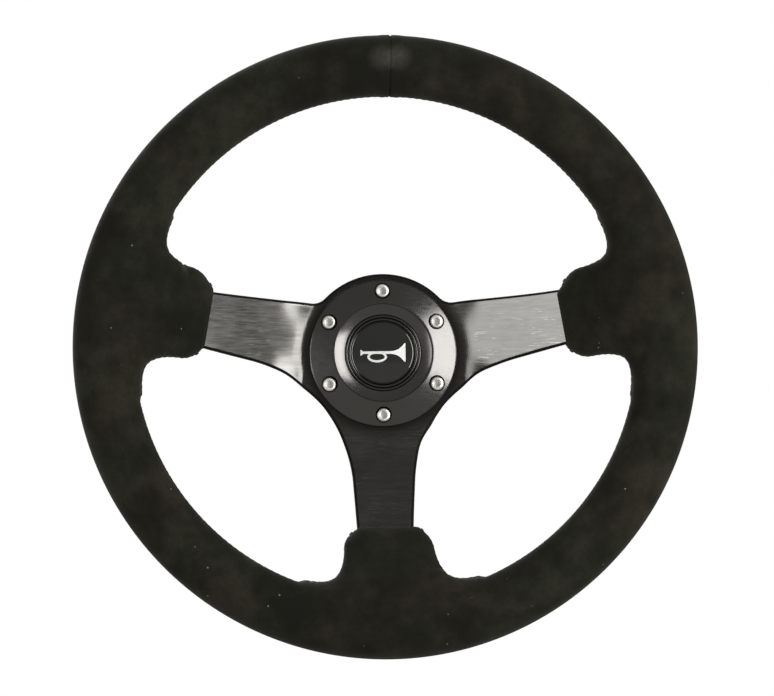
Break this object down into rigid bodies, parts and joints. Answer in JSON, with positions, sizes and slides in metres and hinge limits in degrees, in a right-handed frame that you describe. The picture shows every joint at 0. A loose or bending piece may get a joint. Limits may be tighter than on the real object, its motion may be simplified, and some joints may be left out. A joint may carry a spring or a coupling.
{
  "type": "quick release steering wheel",
  "caption": "Dished spoked steering wheel with a suede grip, central horn button and a ball-lock quick release that bolts to a column adapter.",
  "frame": {"origin": "centre of the quick release's rear face, where it bolts to the column adapter", "axes": "+Y along the column towards the vehicle, -Y towards the driver, +Z to the top of the wheel, +X to the driver's right"},
  "size_m": [0.3498, 0.1279, 0.3498],
  "materials": {
    "suede": "black suede with a short mottled nap",
    "foam": "moulded polyurethane foam",
    "hoop_steel": "plain drawn tube",
    "thread": "waxed black thread",
    "black_aluminium": "brushed and anodised black",
    "rivet": "plain",
    "trim": "satin black",
    "bolt_steel": "bright stainless",
    "black_plastic": "satin",
    "gloss_cap": null,
    "brass": "plain",
    "spring_steel": "bright wire",
    "red_wire": "insulated wire",
    "black_wire": "insulated wire",
    "insulator": "natural nylon",
    "release_black": "anodised black",
    "collar_metal": "turned, clear anodised",
    "o_ring": "nitrile",
    "dark_steel": "phosphated",
    "ball_steel": "polished"
  },
  "bodies": {
    "wheel": {"suede_cover": "suede", "rim_foam": "foam", "rim_hoop": "hoop_steel", "lacing_thread": "thread", "spoke_frame": "black_aluminium", "spoke_rivets": "rivet", "trim_ring": "trim", "wheel_bolts": "bolt_steel", "horn_housing": "black_plastic", "horn_spring": "spring_steel", "horn_base": "black_plastic", "horn_terminals": "brass", "horn_lead": "red_wire", "ground_lead": "black_wire", "contact_carrier": "insulator", "contact_pin": "brass", "contact_pin_spring": "spring_steel", "contact_seat": "insulator", "contact_ring": "brass", "release_hub": "release_black", "collar_spring": "spring_steel", "stop_washer": "bolt_steel", "snap_ring": "dark_steel", "boss_o_ring": "o_ring", "splined_boss": "release_black"},
    "horn_button": {"horn_cap": "gloss_cap", "horn_moving_contact": "brass"},
    "collar": {"release_collar": "collar_metal"},
    "ball_1": {"locking_ball_1": "ball_steel"},
    "ball_2": {"locking_ball_2": "ball_steel"},
    "ball_3": {"locking_ball_3": "ball_steel"},
    "ball_4": {"locking_ball_4": "ball_steel"},
    "ball_5": {"locking_ball_5": "ball_steel"},
    "ball_6": {"locking_ball_6": "ball_steel"}
  },
  "joints": [
    {"name": "horn_press", "type": "slide", "parent": "wheel", "child": "horn_button", "axis": [0, 1, 0], "range_m": [0, 0.0022], "stiffness_N_per_m": 2000, "springref_m": -0.003, "deforming": ["horn_spring"]},
    {"name": "collar_slide", "type": "slide", "parent": "wheel", "child": "collar", "axis": [0, -1, 0], "range_m": [0, 0.008], "stiffness_N_per_m": 1500, "springref_m": -0.01, "deforming": ["collar_spring"]},
    {"name": "ball_1_slide", "type": "slide", "parent": "wheel", "child": "ball_1", "axis": [1, 0, 0], "range_m": [0, 0.002]},
    {"name": "ball_2_slide", "type": "slide", "parent": "wheel", "child": "ball_2", "axis": [0.5, 0, 0.866], "range_m": [0, 0.002]},
    {"name": "ball_3_slide", "type": "slide", "parent": "wheel", "child": "ball_3", "axis": [-0.5, 0, 0.866], "range_m": [0, 0.002]},
    {"name": "ball_4_slide", "type": "slide", "parent": "wheel", "child": "ball_4", "axis": [-1, 0, 0], "range_m": [0, 0.002]},
    {"name": "ball_5_slide", "type": "slide", "parent": "wheel", "child": "ball_5", "axis": [-0.5, 0, -0.866], "range_m": [0, 0.002]},
    {"name": "ball_6_slide", "type": "slide", "parent": "wheel", "child": "ball_6", "axis": [0.5, 0, -0.866], "range_m": [0, 0.002]}
  ],
  "couplings": [
    {"joint": "ball_1_slide", "follows": "collar_slide", "ratio": 0.25},
    {"joint": "ball_2_slide", "follows": "collar_slide", "ratio": 0.25},
    {"joint": "ball_3_slide", "follows": "collar_slide", "ratio": 0.25},
    {"joint": "ball_4_slide", "follows": "collar_slide", "ratio": 0.25},
    {"joint": "ball_5_slide", "follows": "collar_slide", "ratio": 0.25},
    {"joint": "ball_6_slide", "follows": "collar_slide", "ratio": 0.25}
  ]
}
